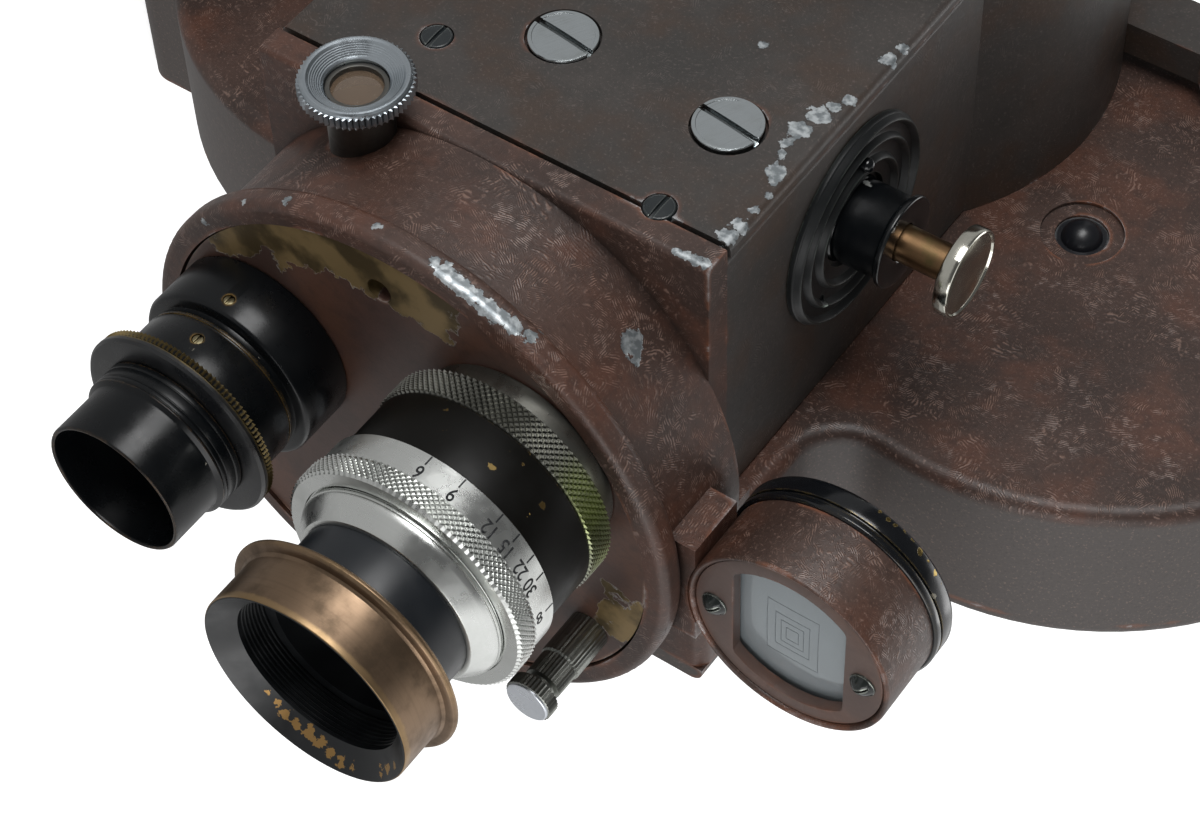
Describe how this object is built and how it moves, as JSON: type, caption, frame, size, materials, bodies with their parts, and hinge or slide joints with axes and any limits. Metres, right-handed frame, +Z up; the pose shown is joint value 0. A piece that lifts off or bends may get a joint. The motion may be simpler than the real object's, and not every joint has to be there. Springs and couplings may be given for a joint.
{
  "type": "movie camera",
  "caption": "Hand-held 16 mm movie camera: figure-eight film case with door, three-lens turret, spring motor with folding key, top dial and start button, open sight finder and focuser.",
  "frame": {"origin": "mouth of the tripod socket, in the base plane", "axes": "+Z up, the lenses look along -Y, +X towards the film door"},
  "size_m": [0.1013, 0.2027, 0.217],
  "materials": {
    "brown_casting": "walnut brown crinkle enamel",
    "grey_brown_casting": "dark grey-brown crinkle enamel",
    "black_metal": "gloss black enamel",
    "bright_metal": "satin nickel",
    "bronze": "browned bronze",
    "brass": "turned brass",
    "steel": "turned steel",
    "black_enamel": "black enamel",
    "lens_glass": "polished"
  },
  "bodies": {
    "body": {"film_case": "brown_casting", "tripod_bush": "brass", "front_casting": "brown_casting", "detent_ball": "steel", "turret_pivot": "steel", "mechanism_case": "grey_brown_casting", "mechanism_cover": "grey_brown_casting", "cover_screws": "bright_metal", "small_screws": "steel", "drum_cover": "grey_brown_casting", "gear_bridge": "brass", "aperture_plate": "bright_metal", "gate_bracket": "black_metal", "finder_barrel": "brown_casting", "finder_face": "brown_casting", "finder_glasses": "lens_glass", "finder_ring": "black_metal", "rear_sight": "grey_brown_casting", "focuser_tube": "bright_metal", "focuser_optics": "lens_glass", "button_sleeve": "black_metal"},
    "door": {"door": "brown_casting"},
    "lock_front": {"lock_knob_front": "bright_metal"},
    "lock_rear": {"lock_knob_rear": "bright_metal"},
    "turret": {"turret_disc": "brown_casting", "turret_handle": "bright_metal", "black_lens_barrel": "black_metal", "black_lens_tube": "black_metal", "black_lens_screws": "steel", "black_lens_glass": "lens_glass", "iris_leaves": "steel", "bright_lens_mount": "bright_metal", "bright_lens_barrel": "black_metal"},
    "black_iris": {"black_lens_iris_ring": "black_metal"},
    "bright_focus": {"bright_lens_focus_ring": "bright_metal"},
    "bright_front": {"bright_lens_cell": "bright_metal", "bright_lens_glass": "lens_glass", "lens_hood": "bronze"},
    "focuser": {"focuser_ring": "bright_metal"},
    "dial": {"speed_dial": "black_metal"},
    "start_button": {"button_rod": "brass", "button_head": "bright_metal"},
    "supply": {"supply_spindle": "bright_metal", "supply_spool": "black_enamel"},
    "takeup": {"takeup_spindle": "bright_metal", "takeup_spool": "black_enamel"},
    "sprocket": {"film_sprocket": "steel", "sprocket_gear": "brass"},
    "spring_motor": {"spring_barrel": "steel", "mainspring": "steel"},
    "winding_arbor": {"arbor": "steel", "key_hub": "bright_metal", "key_pin": "bright_metal"},
    "winding_wing": {"key_wing": "bright_metal"},
    "governor": {"governor": "brass"},
    "shutter": {"shutter": "black_metal"},
    "claw": {"claw": "black_metal"},
    "pressure_pad": {"pressure_plate": "bright_metal"},
    "footage": {"footage_dial": "bright_metal"}
  },
  "joints": [
    {"name": "door_off", "type": "slide", "parent": "body", "child": "door", "axis": [1, 0, 0], "range_m": [0, 0.03]},
    {"name": "lock_turn_front", "type": "hinge", "parent": "door", "child": "lock_front", "pos_m": [0.0506, -0.033, 0.1117], "axis": [1, 0, 0], "range_deg": [0, 90]},
    {"name": "lock_turn_rear", "type": "hinge", "parent": "door", "child": "lock_rear", "pos_m": [0.0506, 0.025, 0.1117], "axis": [1, 0, 0], "range_deg": [0, 90]},
    {"name": "turret_turn", "type": "hinge", "parent": "body", "child": "turret", "pos_m": [0.0124, -0.105, 0.109], "axis": [0, 1, 0], "continuous": true},
    {"name": "black_iris_turn", "type": "hinge", "parent": "turret", "child": "black_iris", "pos_m": [0.00221, -0.123, 0.0859], "axis": [0, -1, 0], "range_deg": [0, 90]},
    {"name": "bright_focus_turn", "type": "hinge", "parent": "turret", "child": "bright_focus", "pos_m": [-0.00251, -0.125, 0.12938], "axis": [0, -1, 0], "range_deg": [0, 270.5]},
    {"name": "bright_front_slide", "type": "slide", "parent": "turret", "child": "bright_front", "axis": [0, -1, 0], "range_m": [0, 0.0012]},
    {"name": "focuser_turn", "type": "hinge", "parent": "body", "child": "focuser", "pos_m": [-0.0373, -0.0878, 0.0924], "axis": [-1, 0, 0], "range_deg": [-90, 90]},
    {"name": "speed_dial_turn", "type": "hinge", "parent": "body", "child": "dial", "pos_m": [-0.0081, -0.0502, 0.1456], "axis": [0, 0, 1], "range_deg": [-150, 110]},
    {"name": "start_press", "type": "slide", "parent": "body", "child": "start_button", "axis": [0, 0, -1], "range_m": [0, 0.003], "stiffness_N_per_m": 300, "springref_m": -0.003},
    {"name": "supply_turn", "type": "hinge", "parent": "body", "child": "supply", "pos_m": [0.0375, -0.01, 0.1624], "axis": [1, 0, 0], "continuous": true},
    {"name": "takeup_turn", "type": "hinge", "parent": "body", "child": "takeup", "pos_m": [0.0375, -0.01, 0.0556], "axis": [1, 0, 0], "continuous": true},
    {"name": "motor_turn", "type": "hinge", "parent": "body", "child": "spring_motor", "pos_m": [0.0124, 0.008, 0.1117], "axis": [1, 0, 0], "continuous": true},
    {"name": "sprocket_turn", "type": "hinge", "parent": "body", "child": "sprocket", "pos_m": [0.0124, -0.057, 0.1117], "axis": [1, 0, 0], "continuous": true},
    {"name": "governor_turn", "type": "hinge", "parent": "body", "child": "governor", "pos_m": [0.0124, -0.03692, 0.08303], "axis": [1, 0, 0], "continuous": true},
    {"name": "shutter_turn", "type": "hinge", "parent": "body", "child": "shutter", "pos_m": [0.0144, -0.105, 0.11503], "axis": [0, 1, 0], "continuous": true},
    {"name": "winding_turn", "type": "hinge", "parent": "body", "child": "winding_arbor", "pos_m": [0.0124, 0.008, 0.1117], "axis": [1, 0, 0], "continuous": true},
    {"name": "key_fold", "type": "hinge", "parent": "winding_arbor", "child": "winding_wing", "pos_m": [-0.0397, 0.008, 0.1117], "axis": [0, 0, 1], "range_deg": [-180, 0]},
    {"name": "claw_stroke", "type": "slide", "parent": "body", "child": "claw", "axis": [0, 0, 1], "range_m": [-0.00381, 0.00381]},
    {"name": "pressure_pad_slide", "type": "slide", "parent": "body", "child": "pressure_pad", "axis": [0, 1, 0], "range_m": [0, 0.0015], "stiffness_N_per_m": 200, "springref_m": -0.002},
    {"name": "footage_turn", "type": "hinge", "parent": "body", "child": "footage", "pos_m": [-0.0292, -0.039, 0.095], "axis": [1, 0, 0], "continuous": true}
  ],
  "couplings": [
    {"joint": "sprocket_turn", "follows": "motor_turn", "ratio": -1.2414},
    {"joint": "governor_turn", "follows": "motor_turn", "ratio": 6},
    {"joint": "shutter_turn", "follows": "motor_turn", "ratio": 12.414},
    {"joint": "bright_focus_turn", "follows": "bright_front_slide", "rad_per_m": 3927}
  ]
}
